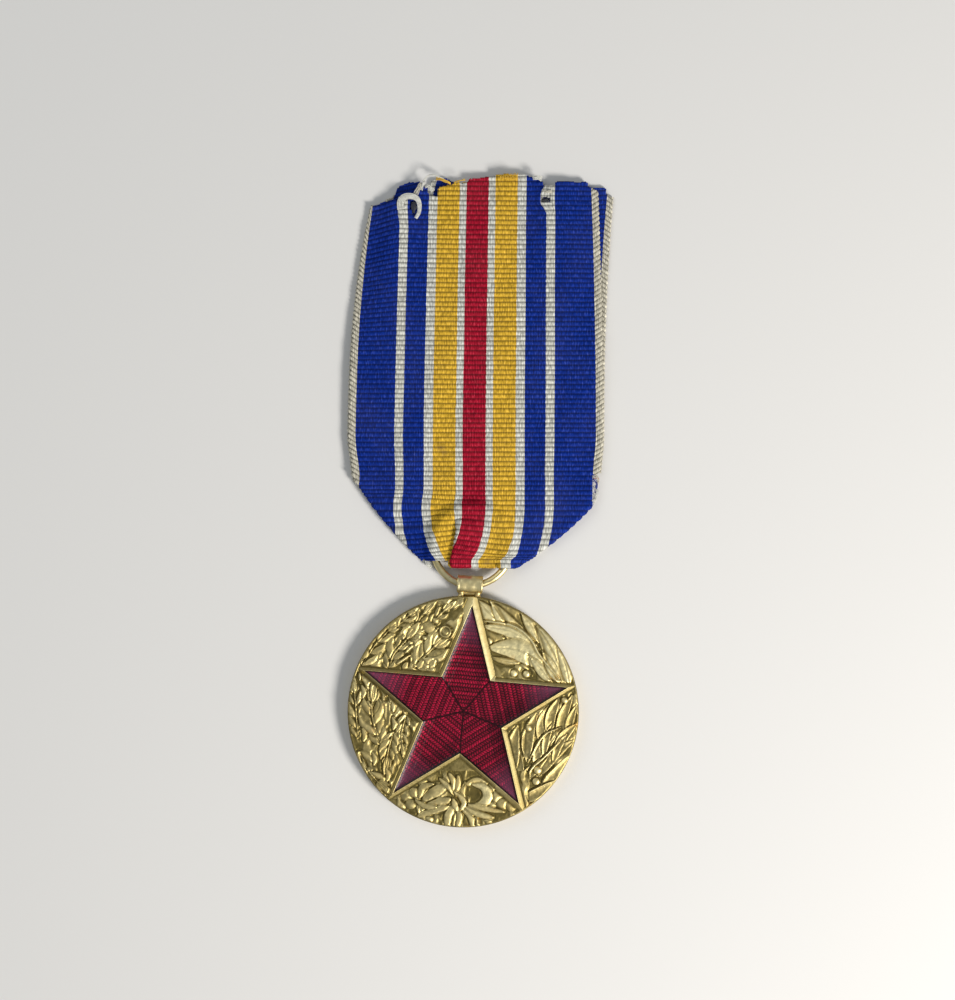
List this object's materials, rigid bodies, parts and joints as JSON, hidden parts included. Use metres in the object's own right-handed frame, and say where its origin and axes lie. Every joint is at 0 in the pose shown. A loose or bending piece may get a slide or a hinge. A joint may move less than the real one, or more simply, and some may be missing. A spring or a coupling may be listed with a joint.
{
  "type": "military service medal",
  "caption": "Round struck medal with an enamelled star and leaf relief, hung by a tube and a wire ring from a folded striped ribbon.",
  "frame": {"origin": "centre of the underside of the whole object, lying face up", "axes": "+Z is the medal's face, +Y runs from the disc to the ribbon's top edge, +X is to the right seen from the face"},
  "size_m": [0.0382, 0.0942, 0.0026],
  "materials": {
    "gilt_bronze": "struck and gilt, worn matt with brighter high spots",
    "red_enamel": "translucent vitreous enamel, glossy, over an engine-turned floor",
    "gilt_tube": "drawn tube, gilt and rubbed",
    "solder": "braze, slightly grainy",
    "ring_wire": "round wire, gilt and rubbed",
    "striped_ribbon": "ribbed woven silk, blue, white, yellow and red stripes",
    "thread": "twisted sewing thread"
  },
  "bodies": {
    "ribbon": {"ribbon": "striped_ribbon"},
    "loop": {"ribbon_loop": "striped_ribbon", "left_corner_tack": "thread", "right_corner_tack": "thread"},
    "ring": {"suspension_ring": "ring_wire"},
    "medal": {"medal_disc": "gilt_bronze", "enamel_star": "red_enamel", "suspension_tube": "gilt_tube", "solder_bead": "solder"}
  },
  "joints": [
    {"name": "loop_bend", "type": "hinge", "parent": "ribbon", "child": "loop", "pos_m": [0, 0.00127, 0.0013], "axis": [-1, 0, 0], "range_deg": [-70, 70]},
    {"name": "ring_turn", "type": "hinge", "parent": "loop", "child": "ring", "pos_m": [-0.0011, -0.00653, 0.0013], "axis": [0, 0, 1], "range_deg": [-10, 14]},
    {"name": "medal_swing", "type": "hinge", "parent": "ring", "child": "medal", "pos_m": [-0.00138, -0.01197, 0.0013], "axis": [-0.9986, 0.0523, 0], "range_deg": [-100, 100]}
  ]
}
